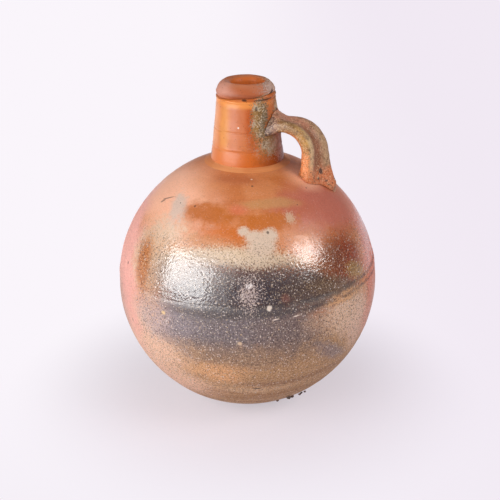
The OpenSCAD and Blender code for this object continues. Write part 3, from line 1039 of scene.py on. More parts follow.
@dataclass(frozen=True)
class BallFinish:
    """Salt glaze over flashed stoneware: satin on the shoulder, glossy round the belly, dry below the seam."""

    name: str
    gloss: float
    satin: float
    dry: float
    peel: float

    def lower_flashes(self) -> list[Flash]:
        """The patches of the lower half and the back, from the lowest coat to the highest."""
        soft, stippled = Edge.SOFT, Edge.STIPPLED
        return [
            Flash("lower_left", -52, -14, 40, 36, clay(236, 190, 160), 0.9, 0.5, 0.6, Edge.RAGGED, 25),
            Flash("rear_smoke", 180, 4, 120, 30, clay(132, 116, 108), 0.8, 0.5, 0.6, soft),
            Flash("rear_rust", 152, 28, 46, 24, clay(146, 84, 52), 0.8, 0.4, 0.7, stippled),
            Flash("rear_cream", 214, 26, 40, 20, clay(206, 178, 148), 0.8, 0.35, 0.9),
            Flash("rear_dark", 188, 16, 50, 13, clay(88, 78, 78), 0.9, 0.4, 0.8, stippled),
            Flash("rear_ochre", 172, 46, 44, 14, clay(194, 116, 60), 0.7, 0.5, 0.7),
            Flash("rear_low_grey", 200, -22, 30, 14, clay(138, 122, 120), 0.6, 0.5, 0.6, soft),
            Flash("belt", -10, 1, 62, 19, clay(104, 92, 96), 1.0, 0.42, 0.5),
            Flash("belt_left", -34, -1, 22, 14, clay(136, 123, 128), 0.8, 0.5, 0.5, Edge.RAGGED, 10),
            Flash("belt_right", 18, -1, 26, 17, clay(104, 86, 84), 0.9, 0.45, 0.6, Edge.RAGGED, -8),
            Flash("belt_low", 0, -13, 54, 11, clay(124, 98, 84), 0.6, 0.5, 0.9),
            Flash("left_grey", -45, 1, 17, 18, clay(206, 176, 168), 0.6, 0.5, 0.6, Edge.RAGGED, 15),
            Flash("right_tan", 33.5, 0, 15, 10, clay(184, 146, 118), 0.7, 0.8, 0.9, soft),
            Flash("right_cream", 50, 0, 25, 19, clay(220, 182, 152), 0.95, 0.4, 0.7, Edge.RAGGED, -18),
            Flash("right_pale", 60, -10, 18, 22, clay(228, 188, 164), 0.75, 0.6, 0.6, soft),
            Flash("left_rim", -42, -38, 30, 17, clay(238, 190, 162), 0.7, 0.6, 0.6, soft),
            Flash("blue_smoke", 40, -17, 18, 6, clay(126, 112, 116), 0.7, 0.6, 0.9, Edge.RAGGED, -34),
            Flash("low_streak", 16, -31, 34, 3, clay(146, 102, 70), 0.7, 0.5, 1.0),
            Flash("low_glow", -14, -24, 20, 9, clay(220, 160, 106), 0.8, 0.6, 0.8, soft),
            Flash("low_pale", 4, -36, 26, 4, clay(206, 166, 126), 0.7, 0.5, 1.2),
        ]

    def upper_flashes(self) -> list[Flash]:
        """The patches of the shoulder and the belly's front, from the lowest coat to the highest."""
        soft, stippled = Edge.SOFT, Edge.STIPPLED
        return [
            Flash("left_shoulder", -70, 50, 43, 28, clay(250, 188, 154), 0.95, 0.6, 0.4, soft),
            Flash("neck_smudge", -11, 67, 16, 6, clay(176, 92, 50), 0.75, 0.6, 0.5, soft),
            Flash("red_shoulder", 56, 47, 38, 20, clay(194, 104, 80), 1.0, 0.45, 0.4, soft, -20),
            Flash("red_front", 34, 50, 16, 7, clay(190, 98, 64), 0.8, 0.6, 0.5, soft, -20),
            Flash("right_blush", 84, 12, 30, 54, clay(222, 130, 106), 1.0, 0.35, 0.3, soft, -24),
            Flash("pale_blush", 84, -8, 26, 26, clay(214, 170, 154), 0.8, 0.5, 0.4, soft, -24),
            Flash("left_blush", -76, 15, 26, 56, clay(234, 166, 150), 1.0, 0.35, 0.4, soft, 30),
            Flash("blush_low", -80, -8, 24, 24, clay(198, 154, 138), 0.9, 0.5, 0.4, soft, 30),
            Flash("tan_streak", 14, 54, 24, 4, clay(200, 142, 88), 0.8, 0.5, 0.8, soft),
            Flash("ochre_left", -26, 48, 22, 8, clay(186, 98, 24), 0.9, 0.5, 0.9),
            Flash("ochre_low", -12, 38, 18, 10, clay(202, 104, 22), 0.9, 0.4, 1.0),
            Flash("ochre_right", 13, 45, 20, 7, clay(194, 104, 28), 0.95, 0.4, 1.0),
            Flash("red_spot", -6, 51, 7, 4, clay(212, 108, 72), 0.7, 0.6, 0.5, soft),
            # painted light: a pale patch that lifts the shade the handle casts on the shoulder
            Flash("handle_lee_painted_light", 62, 62, 12, 12, clay(250, 186, 150), 0.8, 0.7, 0.5, soft),
            Flash("left_salt", -46, 26, 27, 25, clay(226, 196, 168), 0.95, 0.4, 0.7, Edge.RAGGED, 20),
            Flash("salt_streak", -48, 47, 7, 13, clay(216, 190, 172), 0.9, 0.5, 0.9, Edge.RAGGED, 35),
            Flash("salt_veil", -20, 33, 28, 9, clay(202, 136, 88), 0.85, 0.5, 0.9),
            Flash("left_ochre", -54, 19.5, 8, 18, clay(178, 92, 24), 0.95, 0.4, 1.2, stippled, 10),
            Flash("left_pepper", -49, 18, 14, 24, clay(204, 140, 84), 0.5, 0.4, 3.4, stippled, 24),
            Flash("cream_belt", -6, 30, 52, 7.5, clay(216, 190, 160), 0.95, 0.4, 1.1, stippled),
            Flash("left_glaze", -25, 20, 31, 15, clay(150, 134, 124), 0.95, 0.4, 1.2, stippled),
            Flash("dark_glaze", 6, 16.5, 44, 14, clay(52, 48, 58), 1.0, 0.35, 1.0, stippled),
            Flash("dark_left", -20, 12, 34, 13, clay(66, 60, 66), 0.9, 0.4, 1.4, stippled),
            Flash("seam_shade", 3, 9, 36, 6.5, clay(60, 54, 60), 0.95, 0.5, 0.8),
            Flash("dark_right", 28, 15, 24, 15, clay(80, 66, 62), 0.95, 0.35, 1.0, stippled, -10),
            Flash("dark_fringe", 2, 23.5, 44, 7.5, clay(84, 76, 78), 0.8, 0.4, 2.0, stippled),
            Flash("rust_patch", 51, 22, 19, 20, clay(144, 52, 4), 1.0, 0.5, 0.8, stippled, -28),
            Flash("rust_shade", 42, 24, 13, 12, clay(112, 62, 38), 0.7, 0.6, 1.8, stippled, -20),
            Flash("rust_tail", 41, 13, 24, 8, clay(98, 74, 54), 0.9, 0.45, 1.4, stippled, -14),
            Flash("olive_tail", 56, 16, 11, 6, clay(156, 118, 50), 0.85, 0.4, 1.6, stippled, -24),
            Flash("cream_blot", 7, 35, 10.5, 9, clay(214, 188, 164), 1.0, 0.4, 0.8, stippled),
            Flash("blot_left", -2.0, 41.3, 4, 3.4, clay(214, 188, 164), 1.0, 0.4, 0.8, stippled),
            Flash("blot_middle", 3.6, 39.2, 6.5, 4.2, clay(214, 188, 164), 1.0, 0.4, 0.8, stippled),
            Flash("blot_right", 12, 39.2, 5.5, 5.5, clay(214, 188, 164), 1.0, 0.4, 0.8, stippled),
            Flash("blot_foot", 4, 28.5, 12, 5, clay(212, 188, 162), 0.8, 0.4, 2.0, stippled),
            Flash("grey_tooth", 26, 46, 3.5, 4.5, clay(206, 168, 136), 0.8, 0.35, 1.6, stippled),
            Flash("rust_spot", 16, 13, 3, 3, clay(128, 78, 66), 0.6, 0.5, 0.5, soft),
            Flash("pitted_spot", 1, 15.5, 5.5, 8, clay(192, 172, 166), 0.75, 0.4, 5.0, stippled),
            Flash("pitted_heart", 1, 19, 2.4, 2.0, clay(232, 222, 218), 0.95, 0.3, 1.8),
            Flash("seam_ochre", 46, 7.5, 18, 4, clay(214, 158, 108), 0.85, 0.4, 0.7, Edge.RAGGED, 2),
        ]

    def marks(self) -> list[Flash]:
        """Scratches, pits and pin holes, each where it is seen."""
        dark, pale = clay(70, 48, 40), clay(232, 214, 196)
        return [
            Flash("scratch", -62, 49, 7, 0.5, dark, 0.75, 0.3, 0.8, Edge.RAGGED, 32),
            Flash("scratch_low", -65, 46.5, 2.6, 0.9, dark, 0.6, 0.3, 0.8, Edge.RAGGED, 50),
            Flash("dot_left", -36, 50, 0.8, 0.8, dark, 0.8),
            Flash("dot_front", 4.5, 63, 0.8, 0.8, dark, 0.8),
            Flash("dot_far_left", -68, 15, 0.9, 1.2, dark, 0.8),
            Flash("dot_low_left", -61, -9, 0.9, 1.6, dark, 0.7),
            Flash("dot_white", 4.5, 67, 0.7, 0.6, pale, 0.9),
            Flash("chip_blot", 11, 40.5, 0.9, 1.1, dark, 0.8),
            Flash("fleck_1", 9, 9.5, 1.6, 1.8, pale, 0.8, 0.4, 0.9),
            Flash("fleck_2", 11.5, 4.5, 2.2, 0.5, pale, 0.8, 0.4, 0.8, Edge.RAGGED, 8),
            Flash("fleck_3", 20.5, 5, 2.8, 0.5, pale, 0.8, 0.4, 0.8, Edge.RAGGED, 8),
            Flash("fleck_4", -37.5, 2.6, 1.8, 1.5, clay(226, 190, 130), 0.8, 0.4, 0.8),
            Flash("fleck_5", -3, -6, 1.6, 1.6, clay(216, 184, 150), 0.8, 0.4, 0.8),
            Flash("pit_low", 5, -34, 2.8, 0.8, clay(66, 48, 40), 0.9, 0.4, 0.8),
        ]

    def build(self, effects: Effects) -> bpy.types.Material:
        """Builds the material.

        Args:
            effects: the shared groups.

        Returns:
            The material.
        """
        coat = Coat(self.name, effects, clay(199, 115, 60))
        tree, place = coat.tree, coat.place
        height = tree.node("SeparateXYZ", {0: place}).outputs[2]
        wiped = tree.use(effects.turning, Place=place, Pitch=180.0)["Lines"]
        streaks = tree.use(effects.turning, Place=place, Pitch=520.0)["Lines"]
        coat.lay(tree.step(coat.soft, 0.4, 0.62), clay(209, 129, 76))
        coat.lay(tree.step(wiped, 0.5, 0.66, 0, 0.4), clay(186, 98, 50))
        coat.lay(tree.step(streaks, 0.46, 0.34, 0, 0.35), clay(217, 143, 94))
        wave = tree.math("MULTIPLY", tree.math("SUBTRACT", coat.ragged, 0.5), 50 * MM)
        level = tree.math("ADD", height, wave)
        coat.lay(tree.step(level, 112 * MM, 86 * MM), clay(180, 136, 92))
        coat.lay(tree.math("MULTIPLY", tree.step(level, 70 * MM, 40 * MM), tree.step(wiped, 0.44, 0.56)), clay(160, 112, 66))
        for flash in self.lower_flashes() + self.upper_flashes():
            coat.patch(flash, *self.spot(flash), 90 * MM)
        fray = tree.math("MULTIPLY", tree.math("SUBTRACT", coat.ragged, 0.5), 16 * MM)
        across = tree.node("VectorMath", {0: place, 1: facing(90)}, operation="DOT_PRODUCT").outputs["Value"]
        sides = tree.step(tree.math("ABSOLUTE", tree.math("SUBTRACT", tree.math("ADD", across, fray), 7 * MM)), 94 * MM, 80 * MM)
        belly = tree.math("MULTIPLY", tree.step(height, 164 * MM, 138 * MM, 0.15, 1), tree.step(sides, 0, 1, 0.3, 1))
        low = tree.step(height, 116 * MM, 98 * MM)
        coat.lay(tree.math("MULTIPLY", tree.step(coat.grit, 0.52, 0.62), tree.math("MULTIPLY", belly, 0.65)), clay(86, 60, 44))
        coat.lay(tree.math("MULTIPLY", tree.step(coat.grit, 0.46, 0.36), tree.math("MULTIPLY", belly, 0.4)), clay(220, 188, 150))
        coat.speckle(1150.0, 0.36, 0.5, tree.math("MULTIPLY", belly, tree.step(height, 84 * MM, 66 * MM, 0.85, 0.6)), clay(54, 38, 30))
        coat.speckle(1000.0, 0.18, 0.46, tree.math("MULTIPLY", belly, 0.75), clay(222, 206, 194))
        coat.speckle(420.0, 0.07, 0.22, tree.math("MULTIPLY", low, 0.8), clay(216, 184, 136))
        coat.speckle(210.0, 0.05, 0.11, 0.8, clay(64, 44, 36))
        # painted shadow: a dark band on the lowest few millimetres, where the ball meets the floor
        coat.lay(tree.step(height, 4 * MM, 0.5 * MM, 0, 0.4), clay(92, 62, 48))
        self.seam_lines(coat)
        for mark in self.marks():
            coat.patch(mark, *self.spot(mark), 90 * MM)
        over = self.over_seam(coat)
        glazed = tree.step(tree.math("ADD", over, fray), -3 * MM, 8 * MM)
        glazed = tree.math("MULTIPLY", glazed, sides)
        rough = tree.step(glazed, 0, 1, self.dry, self.gloss)
        satin = tree.step(tree.math("ADD", height, fray), 146 * MM, 160 * MM, 0, self.satin - self.gloss)
        rough = tree.math("ADD", tree.math("ADD", rough, satin), tree.step(coat.ragged, 0.3, 0.7, -0.04, 0.08), clamp=True)
        peel = tree.use(effects.peel, Place=place, Scale=560.0, Depth=self.peel)["Height"]
        peel = tree.math("MULTIPLY", peel, tree.step(height, 160 * MM, 138 * MM, 0.12, 1.0))
        lines = tree.math("MULTIPLY", streaks, tree.step(height, 118 * MM, 106 * MM, 0.08 * MM, 0.45 * MM))
        grains = tree.math("MULTIPLY", coat.grit, tree.step(height, 118 * MM, 106 * MM, 0.03 * MM, 0.4 * MM))
        relief = tree.math("ADD", tree.math("ADD", peel, lines), grains)
        return coat.fire(rough, relief, 0.5)

    @staticmethod
    def over_seam(coat: Coat) -> bpy.types.NodeSocket:
        """How far a place lies above the seam's middle, in metres."""
        ball = Ball()
        up, _ = ball.seam_frame()
        reach = coat.tree.node("VectorMath", {0: coat.place, 1: up}, operation="DOT_PRODUCT").outputs["Value"]
        return coat.tree.math("SUBTRACT", reach, ball.middle * up.z + ball.seam_rise)

    def seam_lines(self, coat: Coat) -> bpy.types.NodeSocket:
        """Darkens the two soft lines along the seam, broken and faint away from the front.

        Args:
            coat: the material in work.

        Returns:
            Where the lines are.
        """
        tree = coat.tree
        wave = tree.math("MULTIPLY", tree.math("SUBTRACT", coat.ragged, 0.5), 4 * MM)
        over = tree.math("ADD", self.over_seam(coat), wave)
        gap = tree.math("ABSOLUTE", tree.math("SUBTRACT", tree.math("ABSOLUTE", over), 3.0 * MM))
        line = tree.step(gap, 2.4 * MM, 0.2 * MM)
        across = tree.node("VectorMath", {0: coat.place, 1: facing(90)}, operation="DOT_PRODUCT").outputs["Value"]
        front = tree.math("MULTIPLY", tree.step(across, -40 * MM, -14 * MM, 0.0, 1.0), tree.step(coat.soft, 0.42, 0.52, 0.25, 1.0))
        line = tree.math("MULTIPLY", line, front)
        line = tree.math("MULTIPLY", line, tree.step(coat.grit, 0.4, 0.56, 0.35, 1.0))
        coat.lay(tree.math("MULTIPLY", line, 0.7), clay(58, 46, 44))
        return line

    @staticmethod
    def spot(flash: Flash) -> tuple[Vector, Euler]:
        """Where a patch lies on the ball.

        Args:
            flash: the patch.

        Returns:
            Its middle and how its axes lie.
        """
        rise = math.radians(flash.up)
        normal = facing(flash.right) * math.cos(rise) + Vector((0, 0, math.sin(rise)))
        turn = Euler((math.pi / 2 - rise, 0, math.radians(FRONT + flash.right)), "XYZ")
        return Ball().centre + normal * Ball().radius, turn


@dataclass(frozen=True)
class NeckFinish:
    """Clear glaze over orange clay, with patches and a run of ash placed round the neck's axis."""

    name: str
    base: Colour
    warm: Colour
    gloss: float
    peel: float
    flashes: tuple[Flash, ...] = ()
    sheen: float = 0.5
    specks: float = 0.5
    throat: Colour = field(default_factory=lambda: clay(206, 108, 48))

    def build(self, effects: Effects) -> bpy.types.Material:
        """Builds the material.

        Args:
            effects: the shared groups.

        Returns:
            The material.
        """
        coat = Coat(self.name, effects, self.base)
        tree, place = coat.tree, coat.place
        lines = tree.use(effects.turning, Place=place, Pitch=260.0)["Lines"]
        fine = tree.use(effects.turning, Place=place, Pitch=900.0)["Lines"]
        coat.lay(tree.step(coat.soft, 0.42, 0.6), self.warm)
        coat.lay(tree.math("MULTIPLY", tree.step(lines, 0.5, 0.68), 0.3), clay(186, 98, 48))
        for flash in self.flashes:
            coat.patch(flash, *self.spot(flash), 16 * MM)
        level = tree.node("Mapping", {"Vector": place, "Scale": (1.0, 1.0, 0.0)}).outputs[0]
        radius = tree.node("VectorMath", {0: level}, operation="LENGTH").outputs["Value"]
        coat.lay(tree.step(radius, 14 * MM, 12 * MM), self.throat)
        coat.speckle(900.0, 0.10, 0.32, self.specks, clay(96, 58, 36))
        coat.speckle(420.0, 0.04, 0.16, self.specks, clay(60, 42, 34))
        rough = tree.math("ADD", self.gloss, tree.math("MULTIPLY", coat.crust, 0.4), clamp=True)
        peel = tree.use(effects.peel, Place=place, Scale=420.0, Depth=self.peel)["Height"]
        rings = tree.math("MULTIPLY", fine, 0.05 * MM)
        pits = tree.math("MULTIPLY", tree.math("MULTIPLY", coat.grit, coat.crust), 0.5 * MM)
        relief = tree.math("ADD", tree.math("ADD", peel, rings), pits)
        return coat.fire(rough, relief, self.sheen)

    @staticmethod
    def spot(flash: Flash) -> tuple[Vector, Euler]:
        """Where a patch lies round the neck.

        Args:
            flash: the patch.

        Returns:
            Its middle and how its axes lie.
        """
        height = flash.up * MM
        turn = Euler((math.pi / 2, 0, math.radians(FRONT + flash.right)), "XYZ")
        return facing(flash.right) * Neck().wall(height) + Vector((0, 0, height)), turn


def neck_flashes() -> tuple[Flash, ...]:
    """The patches of the thrown neck, from the lowest coat to the highest."""
    soft, stippled = Edge.SOFT, Edge.STIPPLED
    ash = clay(160, 130, 86)
    return (
        Flash("pale_edge", -78, 222, 9, 30, clay(240, 172, 124), 0.7, 0.6, 0.4, soft),
        Flash("ochre_stripe", -44, 220, 4.5, 24, clay(224, 152, 80), 0.8, 0.6, 0.6),
        Flash("pink_front", -12, 226, 9, 15, clay(198, 116, 74), 0.7, 0.6, 0.6),
        Flash("red_stripe", 8, 224, 4.5, 20, clay(180, 78, 18), 0.85, 0.6, 0.6),
        # painted highlight: a pale band in the hollow under the lip
        Flash("under_lip_highlight", -14, 239.5, 26, 2.6, clay(230, 146, 72), 0.85, 0.5, 0.4),
        Flash("foot_glow", 5, 198.5, 40, 6, clay(198, 98, 28), 0.85, 0.5, 0.3),
        Flash("foot_left", -50, 200, 18, 7, clay(216, 126, 72), 0.7, 0.6, 0.3, soft),
        Flash("foot_right", 58, 197, 18, 8, clay(160, 76, 22), 0.95, 0.5, 0.5),
        Flash("rear_smoke", 178, 222, 26, 30, clay(170, 104, 64), 0.8, 0.5, 0.5),
        Flash("ash_high", 24, 232, 6.5, 12, ash, 1.0, 0.22, 1.2, stippled, -6, True),
        Flash("ash_middle", 20, 223, 5.5, 7, ash, 0.95, 0.25, 1.4, stippled, 0, True),
        Flash("ash_thread", 30, 218, 8, 3, ash, 0.9, 0.3, 1.6, stippled, 12, True),
        Flash("ash_low", 42, 210, 9.5, 8, ash, 0.95, 0.25, 1.4, stippled, 0, True),
        Flash("ash_side", 86, 226, 10, 18, ash, 0.85, 0.3, 1.4, stippled, 0, True),
        Flash("ash_behind", 122, 232, 12, 12, ash, 0.8, 0.3, 1.6, stippled, 0, True),
        Flash("ash_spill", 26, 214, 9, 12, ash, 0.35, 0.5, 2.6, stippled, 0, True),
        Flash("ash_dark", 31, 226, 3.5, 12, clay(98, 78, 54), 0.7, 0.4, 3.6, stippled, -6),
        Flash("ash_shade", 44, 209, 6, 6, clay(116, 90, 68), 0.35, 0.4, 3.2, stippled),
        # painted light: a pale patch that lifts the shade under the strap's root on the neck
        Flash("root_lee_painted_light", 70, 207, 9, 9, clay(226, 176, 152), 0.6, 0.5, 2.2, stippled),
        # painted shade: dark marks in the crease under the lip
        Flash("crease", -5, 243.0, 1.6, 0.7, clay(62, 38, 28), 0.9, 0.4, 1.2),
        Flash("crease_right_shade", 36, 242.6, 8, 0.7, clay(62, 44, 34), 0.8, 0.4, 1.6, stippled),
        Flash("ash_pit", 17, 236.5, 1.2, 1.5, clay(78, 60, 48), 0.7, 0.4, 1.6, stippled),
        Flash("foot_dot", -82, 199, 1.2, 1.2, clay(60, 40, 32), 0.9),
        Flash("pin_hole", -16, 223, 0.6, 0.6, clay(238, 226, 214), 0.9),
    )


def lip_flashes() -> tuple[Flash, ...]:
    """The patches of the folded lip, from the lowest coat to the highest."""
    ash = clay(200, 172, 148)
    dark, stippled = clay(54, 40, 34), Edge.STIPPLED
    return (
        Flash("lip_front", -14, 247.5, 15, 3.4, clay(170, 90, 52), 0.8, 0.6, 0.5),
        # painted shade: darker along the lower front of the lip, where the roll turns under
        Flash("lip_low_shade", -18, 245.4, 17, 1.6, clay(150, 80, 50), 0.7, 0.6, 0.9),
        Flash("lip_pale", -62, 249, 10, 5, clay(208, 152, 132), 0.8, 0.6, 0.4),
        Flash("lip_smoke", 175, 249, 20, 5, clay(176, 112, 80), 0.7, 0.5, 0.5),
        Flash("ash_lip", 70, 249, 9, 7, ash, 1.0, 0.4, 2.6, stippled, 0, True),
        Flash("ash_lip_back", 100, 248, 11, 6, ash, 0.85, 0.3, 1.4, stippled, 0, True),
        Flash("ash_edge", 44, 244.6, 11, 2.2, ash, 0.95, 0.3, 1.4, stippled, 8, True),
        Flash("lip_veil", 66, 249, 9, 5.5, clay(222, 182, 170), 0.6, 0.5, 2.2, stippled),
        Flash("crack", 58, 246.8, 4, 0.7, dark, 0.85, 0.4, 1.8, stippled, 24),
        Flash("crack_low", 50, 243.8, 6, 0.6, dark, 0.85, 0.4, 1.8, stippled, 10),
        # painted shade: a dark line in the crease under the lip's front
        Flash("crease_front_shade", 12, 243.8, 12, 0.5, dark, 0.7, 0.5, 2.0, stippled, 4),
    )


@dataclass(frozen=True)
class StrapFinish:
    """Ash glaze on the pulled strap: pale on the ribs, brown in the groove, orange where it faces the camera, that
    orange partly painted light.
    """

    name: str
    gloss: float
    peel: float

    @staticmethod
    def flashes() -> list[Flash]:
        """The patches, from the lowest coat to the highest: right is across the strap, up is along it."""
        soft, stippled = Edge.SOFT, Edge.STIPPLED
        olive = clay(164, 124, 76)
        return [
            Flash("root_top", 2, 8, 17, 14, clay(196, 134, 106), 0.95, 0.4, 0.6),
            # partly painted light: the near side's orange, made paler to lift the shade on the strap's lower near side
            Flash("near_side_with_painted_light", -14, 44, 6, 18, clay(238, 150, 92), 1.0, 0.35, 0.4, soft),
            Flash("near_olive", -13, 22, 5.5, 15, olive, 0.95, 0.4, 1.2, stippled),
            Flash("near_shade", -13, 9, 4, 8, clay(142, 104, 62), 0.85, 0.4, 1.4, stippled),
            Flash("near_yellow", -11, 27, 2.6, 9, clay(214, 160, 78), 0.8, 0.5, 1.2, stippled),
            Flash("near_rib", -9, 37, 3, 15, clay(208, 178, 134), 0.85, 0.4, 1.4, stippled),
            Flash("groove", -2, 40, 5, 21, clay(150, 90, 58), 0.95, 0.4, 0.7),
            Flash("far_rib", 8, 38, 4.5, 19, clay(182, 146, 106), 0.85, 0.4, 1.8, stippled),
            Flash("far_side", 15, 36, 4, 20, clay(146, 106, 76), 0.85, 0.5, 1.0),
            Flash("foot", 2, 61, 18, 9, clay(204, 114, 66), 0.95, 0.4, 0.9),
            Flash("tip_line", -17, -1, 2.2, 12, clay(96, 70, 56), 0.8, 0.4, 1.2),
            Flash("tip_facet", -13, -3, 5, 7, clay(150, 116, 100), 0.9, 0.3, 1.2, stippled),
            Flash("tip_pits", -12, -4, 3.5, 5, clay(96, 72, 60), 0.8, 0.4, 2.6, stippled),
            Flash("chip_1", 1.5, 54, 1.6, 2.0, clay(56, 44, 40), 0.9, 0.4, 1.6),
            Flash("chip_2", -1.5, 59, 1.0, 1.0, clay(60, 46, 40), 0.8, 0.3, 1.6),
            Flash("chip_3", 5, 62, 1.2, 0.8, clay(60, 46, 40), 0.8, 0.3, 1.6),
        ]

    def build(self, effects: Effects) -> bpy.types.Material:
        """Builds the material.

        Args:
            effects: the shared groups.

        Returns:
            The material.
        """
        coat = Coat(self.name, effects, clay(190, 134, 106), Strap.chart)
        tree = coat.tree
        coat.lay(tree.step(coat.soft, 0.42, 0.6), clay(166, 108, 74))
        for flash in self.flashes():
            middle = Vector((flash.right * MM, flash.up * MM, 0))
            coat.patch(flash, middle, Euler((0, 0, 0)), 60 * MM)
        chart = tree.node("SeparateXYZ", {0: coat.chart}).outputs
        under = tree.math("MULTIPLY", tree.step(chart[2], 0, -3 * MM), tree.step(chart[1], 6 * MM, 20 * MM))
        coat.lay(tree.math("MULTIPLY", under, 0.8), clay(200, 106, 48))
        coat.lay(tree.step(coat.ragged, 0.5, 0.62, 0, 0.6), clay(126, 82, 50))
        # pale grains, partly painted glints
        coat.lay(tree.step(coat.grit, 0.54, 0.66, 0, 0.75), clay(222, 196, 156))
        coat.lay(tree.step(coat.grit, 0.45, 0.35, 0, 0.75), clay(88, 54, 32))
        coat.speckle(620.0, 0.12, 0.36, 0.7, clay(62, 44, 34))
        rough = tree.step(coat.grit, 0.3, 0.7, self.gloss - 0.06, self.gloss + 0.2)
        peel = tree.use(effects.peel, Place=coat.place, Scale=520.0, Depth=self.peel)["Height"]
        relief = tree.math("ADD", peel, tree.math("MULTIPLY", coat.grit, 0.25 * MM))
        return coat.fire(rough, relief, 0.25)


@dataclass(frozen=True)
class SandFinish:
    """Dark sand fused on in the kiln."""

    name: str

    def build(self, effects: Effects) -> bpy.types.Material:
        """Builds the material.

        Args:
            effects: the shared groups.

        Returns:
            The material.
        """
        coat = Coat(self.name, effects, clay(92, 62, 46))
        tree = coat.tree
        coat.lay(tree.step(coat.ragged, 0.45, 0.6), clay(58, 38, 30))
        coat.speckle(900.0, 0.2, 0.4, 0.7, clay(170, 144, 116))
        return coat.fire(tree.step(coat.grit, 0.3, 0.7, 0.5, 0.75), tree.math("MULTIPLY", coat.grit, 0.3 * MM), 0.5)


# --------------------------------------------------------------------------- studio


@dataclass(frozen=True)
class Studio:
    """Camera, lamps and pale floor of the photograph."""

    distance: float = 0.9
    elevation: float = 22.0
    aim_height: float = 118.43 * MM
    aim_side: float = 1.9 * MM
    focal: float = 83.45
    backdrop: Colour = field(default_factory=lambda: clay(250, 245, 251))

    def towards(self, right: float, up: float) -> Vector:
        """Unit vector from the flask, in degrees right of and above the camera's direction."""
        level = facing(right)
        rise = math.radians(self.elevation + up)
        return level * math.cos(rise) + Vector((0, 0, math.sin(rise)))

    def camera(self) -> None:
        """Places the camera."""
        lens = bpy.data.cameras.new("camera")
        lens.lens = self.focal
        lens.sensor_width = 36
        eye = bpy.data.objects.new("camera", lens)
        bpy.context.scene.collection.objects.link(eye)
        aim = Vector((0, 0, self.aim_height)) + facing(90) * self.aim_side
        eye.location = aim + self.towards(0, 0) * self.distance
        eye.rotation_euler = (aim - eye.location).to_track_quat("-Z", "Y").to_euler()
        bpy.context.scene.camera = eye

    def softbox(
        self, name: str, right: float, up: float, far: float, size: tuple[float, float], watts: float, sheen: bool = False
    ) -> None:
        """Hangs one softbox that looks at the flask.

        Args:
            name: its name.
            right: degrees right of the camera.
            up: degrees above it.
            far: its distance.
            size: width and height.
            watts: its power.
            sheen: whether it shows only as a reflection.
        """
        lamp = bpy.data.lights.new(name, "AREA")
        lamp.shape = "RECTANGLE"
        lamp.size, lamp.size_y = size
        lamp.energy = watts
        box = bpy.data.objects.new(name, lamp)
        bpy.context.scene.collection.objects.link(box)
        aim = Vector((0, 0, 110 * MM))
        box.location = aim + self.towards(right, up) * far
        box.rotation_euler = (aim - box.location).to_track_quat("-Z", "Y").to_euler()
        box.visible_diffuse = not sheen

    def floor(self) -> None:
        """Lays the pale floor, which shows the backdrop's colour, painted darker towards the right and the front, with
        a soft shadow.
        """
        Bench.clear()
        bpy.ops.mesh.primitive_plane_add(size=12, location=(0, 0, 0))
        floor = bpy.context.active_object
        floor.name = "floor"
        material = bpy.data.materials.new("pale_floor")
        material.use_nodes = True
        nodes = material.node_tree
        nodes.nodes.clear()
        tree = Tree(nodes)
        place = tree.node("TexCoord").outputs["Object"]
        across = tree.node("VectorMath", {0: place, 1: facing(90)}, operation="DOT_PRODUCT").outputs["Value"]
        near = tree.node("VectorMath", {0: place, 1: facing(0)}, operation="DOT_PRODUCT").outputs["Value"]
        away = tree.node("VectorMath", {0: place}, operation="LENGTH").outputs["Value"]
        # painted light falloff: the emitted floor colour is darker towards the right and towards the front
        colour = tree.mix(tree.step(across, -0.15, 0.3), self.backdrop, clay(241, 233, 243))
        colour = tree.mix(tree.step(near, -0.1, 0.4), colour, clay(242, 236, 244))
        paper = tree.node("BsdfDiffuse", {"Color": clay(238, 230, 238)})
        glow = tree.node("Emission", {"Color": colour, "Strength": 1.0})
        path = tree.node("LightPath")
        seen = tree.math("MAXIMUM", path.outputs["Is Camera Ray"], path.outputs["Is Glossy Ray"])
        blend = tree.node("MixShader", {0: tree.math("MULTIPLY", seen, tree.step(away, 0.07, 0.2, 0.5, 1.0))})
        tree.put(blend.inputs[1], paper.outputs[0])
        tree.put(blend.inputs[2], glow.outputs[0])
        out = tree.node("OutputMaterial")
        tree.put(out.inputs[0], blend.outputs[0])
        floor.data.materials.append(material)

    def world(self) -> None:
        """Fills the room with a little even light and a pale backdrop."""
        world = bpy.data.worlds.new("studio")
        bpy.context.scene.world = world
        world.use_nodes = True
        nodes = world.node_tree
        nodes.nodes.clear()
        tree = Tree(nodes)
        path = tree.node("LightPath")
        fill = tree.node("Background", {"Color": clay(236, 232, 240), "Strength": 0.35})
        seen = tree.node("Background", {"Color": self.backdrop, "Strength": 1.0})
        blend = tree.node("MixShader", {0: path.outputs["Is Camera Ray"]})
        tree.put(blend.inputs[1], fill.outputs[0])
        tree.put(blend.inputs[2], seen.outputs[0])
        out = tree.node("OutputWorld")
        tree.put(out.inputs[0], blend.outputs[0])

    def build(self) -> None:
        """Sets up camera, lamps, floor and backdrop."""
        self.camera()
        self.floor()
        self.world()
        self.softbox("softbox_left", -45.8, -3.7, 1.3, (1.59, 1.18), 17)
        self.softbox("softbox_right", 64, 12.5, 1.5, (0.8, 0.65), 8)
        self.softbox("sheen_left", -55, -10, 1.3, (1.02, 0.78), 30, sheen=True)
        self.softbox("sheen_right", 63, 7.5, 1.5, (0.48, 0.52), 8.5, sheen=True)
        bpy.context.scene.view_settings.view_transform = "Standard"


# --------------------------------------------------------------------------- the flask


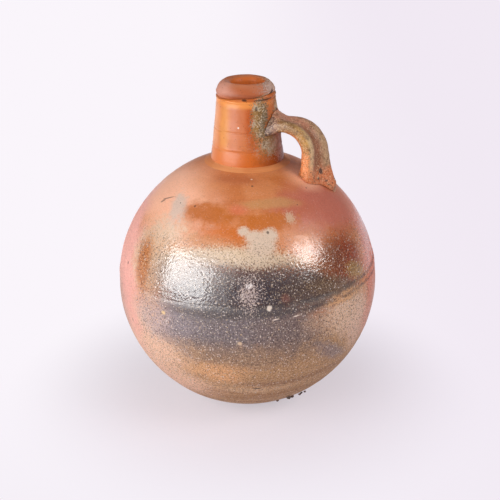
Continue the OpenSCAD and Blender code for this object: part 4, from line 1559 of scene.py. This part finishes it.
@dataclass
class Flask:
    """The whole flask: its pieces, their finishes and what they stand for."""

    ball: Ball = field(default_factory=Ball)
    neck: Neck = field(default_factory=Neck)
    strap: Strap = field(default_factory=Strap)
    crumbs: Crumbs = field(default_factory=Crumbs)

    def settle(self, piece: bpy.types.Object, material: bpy.types.Material, slot: Slot, *nodes: str) -> None:
        """Dresses a piece, lets it ride on the part and says what it replaces.

        Args:
            piece: the piece.
            material: its material.
            slot: its slot in the record; not used.
            nodes: the CAD nodes that it stands for.
        """
        piece.data.materials.clear()
        piece.data.materials.append(material)
        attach(piece, "root")
        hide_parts(*nodes)
        LOG.info("%s: %d faces, stands for %s", piece.name, len(piece.data.polygons), ", ".join(nodes))

    def build(self) -> None:
        """Builds and dresses every piece."""
        effects = Effects()
        body = BallFinish("salt_glazed_stoneware", 0.14, 0.36, 0.62, 0.16 * MM).build(effects)
        clays = clay(190, 102, 50), clay(200, 116, 64)
        neck = NeckFinish("neck_glaze", *clays, 0.32, 0.05 * MM, neck_flashes(), 0.16).build(effects)
        clays = clay(182, 106, 66), clay(190, 116, 80)
        lip = NeckFinish("lip_glaze", *clays, 0.42, 0.06 * MM, lip_flashes(), 0.12).build(effects)
        clays = clay(226, 154, 100), clay(218, 142, 88)
        slip = NeckFinish("slip_glaze", *clays, 0.42, 0.03 * MM, (), 0.12, 0.2).build(effects)
        strap = StrapFinish("strap_glaze", 0.34, 0.1 * MM).build(effects)
        sand = SandFinish("sand_glaze").build(effects)
        self.settle(self.ball.bowl(Half.LOWER), body, Slot.BARE, Half.LOWER.value)
        self.settle(self.ball.bowl(Half.UPPER), body, Slot.BODY, Half.UPPER.value)
        self.settle(self.ball.coil(), body, Slot.SEAM, "belly_seam")
        self.settle(self.neck.tube(), neck, Slot.NECK, "neck_tube")
        self.settle(self.neck.wiped_slip(self.ball), slip, Slot.NECK, "neck_slip_ring")
        self.settle(self.neck.folded_lip(), lip, Slot.LIP, "lip_collar")
        self.settle(self.strap.build(), strap, Slot.HANDLE, *self.strap.nodes)
        self.settle(self.crumbs.build(), sand, Slot.SAND, self.crumbs.node)


def main() -> None:
    """Builds the studio and the flask."""
    logging.basicConfig(level=logging.INFO, format="%(name)s: %(message)s")
    Studio().build()
    Flask().build()
    Bench.clear()


if __name__ == "__main__":
    main()
